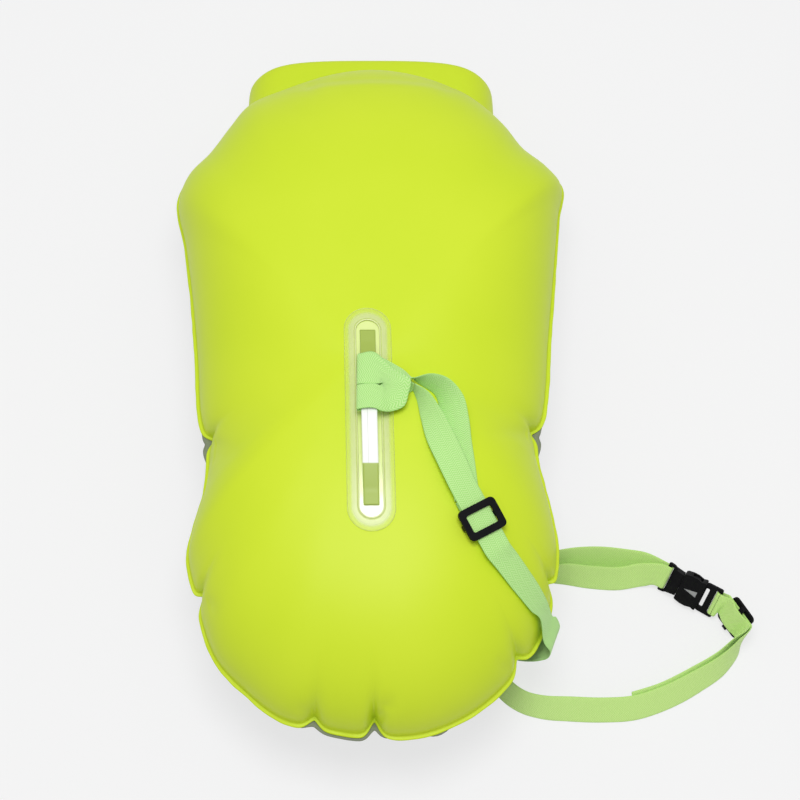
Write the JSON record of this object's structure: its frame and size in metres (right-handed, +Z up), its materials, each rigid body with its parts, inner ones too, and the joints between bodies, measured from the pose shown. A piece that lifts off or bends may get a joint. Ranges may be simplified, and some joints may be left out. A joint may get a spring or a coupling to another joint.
{
  "type": "open water swim buoy",
  "caption": "Inflated tow bag with a dry compartment rolled shut and buckled, a clear handle strip, and a webbing leash with slider that ends in a loop round an adjustable waist belt.",
  "frame": {"origin": "on the surface that the buoy lies on, under the middle of the bag's flat underside", "axes": "+Z up out of the handle side, +Y along the bag to the rolled mouth, +X to the side where the leash and belt lie"},
  "size_m": [0.5429, 0.6997, 0.2073],
  "materials": {
    "bag_film": "satin coated film",
    "underside_film": "matt coated film",
    "liner_film": "matt film",
    "clear_film": "clear gloss film",
    "stiffener_plastic": "matt",
    "green_webbing": "woven polypropylene webbing",
    "black_acetal": "satin moulded",
    "valve_plastic": "satin moulded"
  },
  "bodies": {
    "bag": {"handle_side_panel": "bag_film", "valve_side_panel": "underside_film", "dry_compartment_liner": "liner_film", "rolled_mouth": "bag_film", "mouth_stiffener": "stiffener_plastic", "handle_patch": "clear_film", "handle_strip": "clear_film", "leash_hitch": "green_webbing", "leash_front_layer": "green_webbing", "leash_back_layer": "green_webbing", "leash_belt_loop": "green_webbing", "belt_webbing": "green_webbing", "belt_plug_tail": "green_webbing", "belt_socket_tail": "green_webbing", "roll_tab_left": "green_webbing", "roll_tab_right": "green_webbing", "belt_buckle_socket": "black_acetal", "roll_buckle_socket": "black_acetal", "inflation_valve": "valve_plastic", "stopper_tether": "valve_plastic"},
    "leash_slider_body": {"leash_slider": "black_acetal", "leash_sewn_end": "green_webbing"},
    "belt_slider_body": {"belt_slider": "black_acetal"},
    "belt_plug_body": {"belt_buckle_plug": "black_acetal"},
    "belt_upper_arm_body": {"belt_buckle_upper_latch_arm": "black_acetal"},
    "belt_lower_arm_body": {"belt_buckle_lower_latch_arm": "black_acetal"},
    "roll_plug_body": {"roll_buckle_plug": "black_acetal"},
    "roll_upper_arm_body": {"roll_buckle_upper_latch_arm": "black_acetal"},
    "roll_lower_arm_body": {"roll_buckle_lower_latch_arm": "black_acetal"},
    "stopper_body": {"valve_stopper": "valve_plastic"}
  },
  "joints": [
    {"name": "leash_slider_slide", "type": "slide", "parent": "bag", "child": "leash_slider_body", "axis": [0.4728, -0.8473, -0.2419], "range_m": [-0.012, 0.012], "deforming": ["leash_back_layer"]},
    {"name": "belt_slider_slide", "type": "slide", "parent": "bag", "child": "belt_slider_body", "axis": [0.5299, -0.848, 0], "range_m": [-0.003, 0.002]},
    {"name": "belt_buckle_release", "type": "slide", "parent": "bag", "child": "belt_plug_body", "axis": [-0.8634, 0.5045, 0], "range_m": [0, 0.022], "deforming": ["belt_webbing", "belt_plug_tail", "belt_buckle_upper_latch_arm", "belt_buckle_lower_latch_arm"]},
    {"name": "belt_upper_arm_squeeze", "type": "hinge", "parent": "belt_plug_body", "child": "belt_upper_arm_body", "pos_m": [0.29373, -0.14942, 0.02296], "axis": [0.3865, 0.6614, -0.6428], "range_deg": [0, 13], "stiffness_Nm_per_rad": 0.02},
    {"name": "belt_lower_arm_squeeze", "type": "hinge", "parent": "belt_plug_body", "child": "belt_lower_arm_body", "pos_m": [0.28738, -0.1603, 0.00794], "axis": [-0.3865, -0.6614, 0.6428], "range_deg": [0, 13], "stiffness_Nm_per_rad": 0.02},
    {"name": "roll_buckle_release", "type": "slide", "parent": "bag", "child": "roll_plug_body", "axis": [-1, 0, 0], "range_m": [0, 0.022], "deforming": ["roll_tab_left", "roll_buckle_upper_latch_arm", "roll_buckle_lower_latch_arm"]},
    {"name": "roll_upper_arm_squeeze", "type": "hinge", "parent": "roll_plug_body", "child": "roll_upper_arm_body", "pos_m": [-0.0092, 0.35182, 0.021], "axis": [0, 0, 1], "range_deg": [0, 13], "stiffness_Nm_per_rad": 0.02},
    {"name": "roll_lower_arm_squeeze", "type": "hinge", "parent": "roll_plug_body", "child": "roll_lower_arm_body", "pos_m": [-0.0092, 0.37142, 0.021], "axis": [0, 0, -1], "range_deg": [0, 13], "stiffness_Nm_per_rad": 0.02},
    {"name": "stopper_swing", "type": "hinge", "parent": "bag", "child": "stopper_body", "pos_m": [0.11475, 0.2492, 0.01514], "axis": [0.8764, -0.401, 0.2667], "range_deg": [0, 120]}
  ],
  "couplings": [
    {"joint": "belt_lower_arm_squeeze", "follows": "belt_upper_arm_squeeze", "ratio": 1},
    {"joint": "roll_lower_arm_squeeze", "follows": "roll_upper_arm_squeeze", "ratio": 1}
  ]
}
